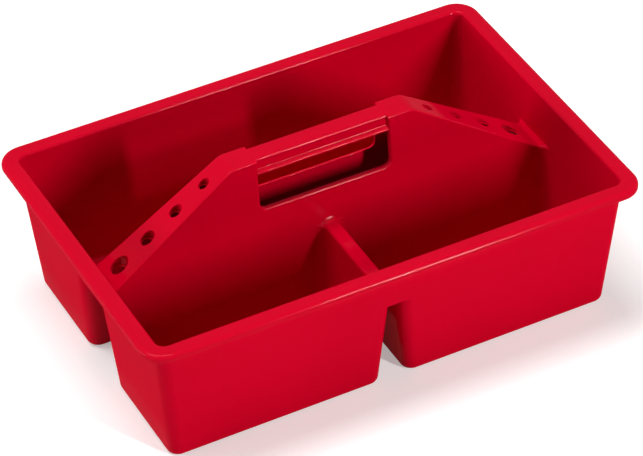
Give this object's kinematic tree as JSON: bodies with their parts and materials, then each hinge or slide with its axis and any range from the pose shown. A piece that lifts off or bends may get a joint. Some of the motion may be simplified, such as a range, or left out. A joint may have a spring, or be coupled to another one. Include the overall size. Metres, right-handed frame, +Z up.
{
  "type": "carry caddy",
  "caption": "Open moulded plastic carry caddy: deep bins either side of a raised hollow spine with a hand grip, tool holes down its slopes, and a flat rim all round.",
  "frame": {"origin": "middle of the resting plane under the three bins", "axes": "+X along the spine to the right, +Y to the long rear bin, +Z up"},
  "size_m": [0.467, 0.315, 0.175],
  "materials": {
    "moulding": "through-coloured red moulding with a soft gloss"
  },
  "bodies": {
    "root": {"rear_bin": "moulding", "front_left_bin": "moulding", "front_right_bin": "moulding", "left_end_bridge": "moulding", "right_end_bridge": "moulding", "divider_bridge": "moulding", "wall_band": "moulding", "rim": "moulding", "grip": "moulding", "spine_front_panel": "moulding", "spine_rear_panel": "moulding", "left_tool_rail": "moulding", "right_tool_rail": "moulding", "left_tool_sleeves": "moulding", "right_tool_sleeves": "moulding"}
  },
  "joints": []
}
